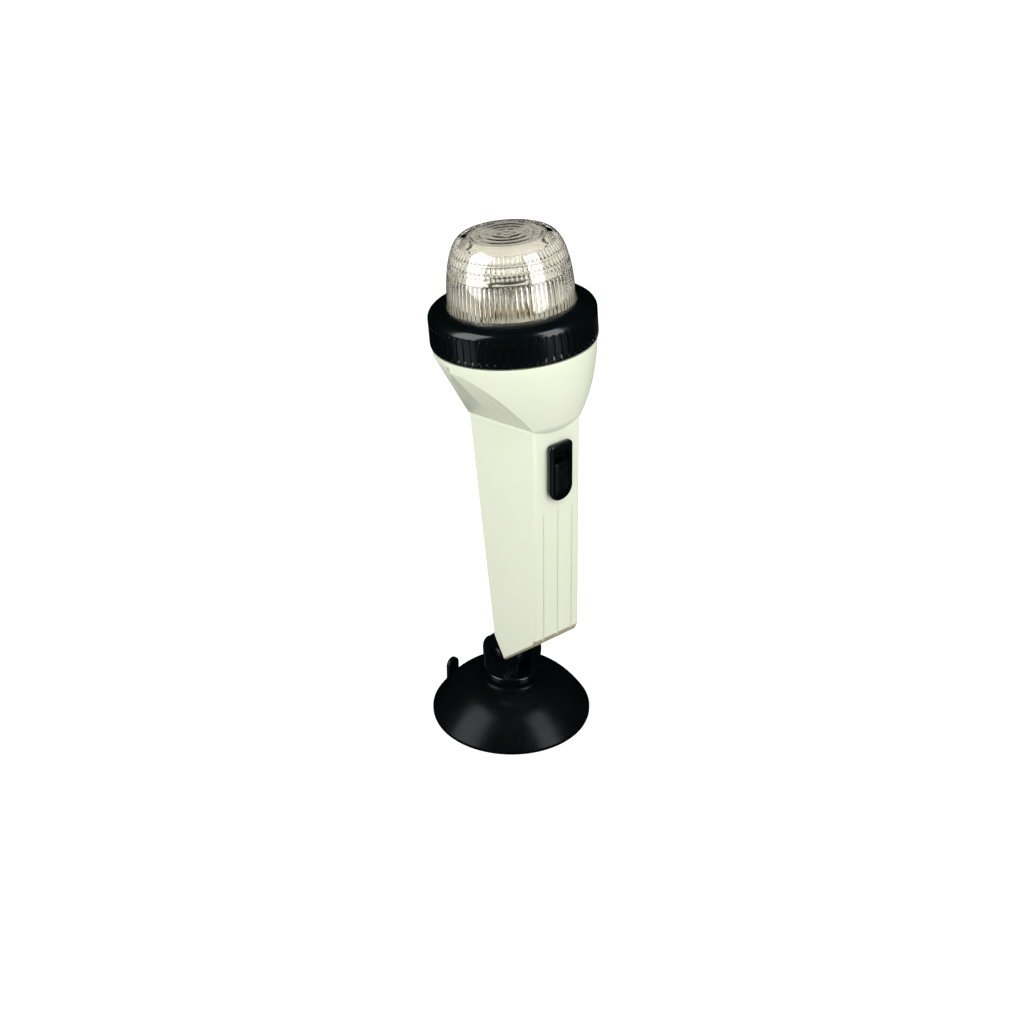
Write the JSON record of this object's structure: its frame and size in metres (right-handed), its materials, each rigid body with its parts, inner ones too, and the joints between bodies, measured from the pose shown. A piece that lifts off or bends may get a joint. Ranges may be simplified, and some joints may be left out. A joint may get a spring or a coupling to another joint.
{
  "type": "navigation light",
  "caption": "Portable all-round white stern light: clear dome lens and screw ring on a slim battery grip with a slide switch, tilting on a forked hinge over a suction cup.",
  "frame": {"origin": "centre of the suction cup's rim, on the plane that it grips", "axes": "+Z out of the gripped surface, towards the lamp; -Y the side with the slide switch; +X along the hinge bolt, towards its nut"},
  "size_m": [0.076, 0.076, 0.2501],
  "materials": {
    "cup_rubber": "smooth moulded rubber, satin, blue-black",
    "black_plastic": "glossy moulded black plastic",
    "ivory_plastic": "fine satin moulded plastic, warm ivory",
    "white_plastic": "matt moulded plastic",
    "lens_clear": "clear fluted lens, polished",
    "bulb_glass": "clear blown glass",
    "steel": "bright zinc-plated steel",
    "brass": "bright brass",
    "cell_jacket": "plain blue cell jacket with bright ends",
    "red_wire": "red wire insulation",
    "black_wire": "black wire insulation"
  },
  "bodies": {
    "cup": {"suction_cup": "cup_rubber", "cup_insert": "steel", "swivel_screw": "steel", "swivel_washer": "white_plastic"},
    "fork": {"fork": "black_plastic", "tilt_bolt": "steel", "tilt_washer_left": "steel", "tilt_washer_right": "steel", "tilt_nut": "steel"},
    "case": {"grip_case": "ivory_plastic", "hinge_lug": "black_plastic", "lug_screw_left": "steel", "lug_screw_right": "steel", "switch_bezel": "black_plastic", "switch_box": "black_plastic", "switch_contact": "brass", "battery_tray": "white_plastic", "bottom_bridge": "steel", "battery_front_lower": "cell_jacket", "battery_front_upper": "cell_jacket", "battery_rear_lower": "cell_jacket", "battery_rear_upper": "cell_jacket", "battery_spring_front": "steel", "battery_spring_rear": "steel", "top_contact_front": "brass", "top_contact_rear": "brass", "switch_wire": "red_wire", "lamp_wire": "red_wire", "return_wire": "black_wire", "bulb_carrier": "white_plastic", "bulb_socket": "brass", "centre_contact": "brass", "bulb_cap": "brass", "bulb_glass": "bulb_glass", "bulb_filament": "steel", "glare_shield": "black_plastic"},
    "lens": {"lens": "lens_clear", "lens_gasket": "cup_rubber"},
    "ring": {"screw_ring": "black_plastic"},
    "slider": {"switch_slider": "black_plastic"}
  },
  "joints": [
    {"name": "swivel", "type": "hinge", "parent": "cup", "child": "fork", "pos_m": [0, 0, 0.0218], "axis": [0, 0, 1], "continuous": true},
    {"name": "tilt", "type": "hinge", "parent": "fork", "child": "case", "pos_m": [0, 0, 0.035], "axis": [1, 0, 0], "range_deg": [-83, 50]},
    {"name": "lens_lift", "type": "slide", "parent": "case", "child": "lens", "axis": [0, 0.1201, 0.9928], "range_m": [0, 0.0045]},
    {"name": "ring_turn", "type": "hinge", "parent": "lens", "child": "ring", "pos_m": [0, -0.02084, 0.03752], "axis": [0, 0.1201, 0.9928], "range_deg": [0, 541]},
    {"name": "switch_slide", "type": "slide", "parent": "case", "child": "slider", "axis": [0, 0.0207, 0.9998], "range_m": [0, 0.005]}
  ],
  "couplings": [
    {"joint": "ring_turn", "follows": "lens_lift", "rad_per_m": 2094.4}
  ]
}
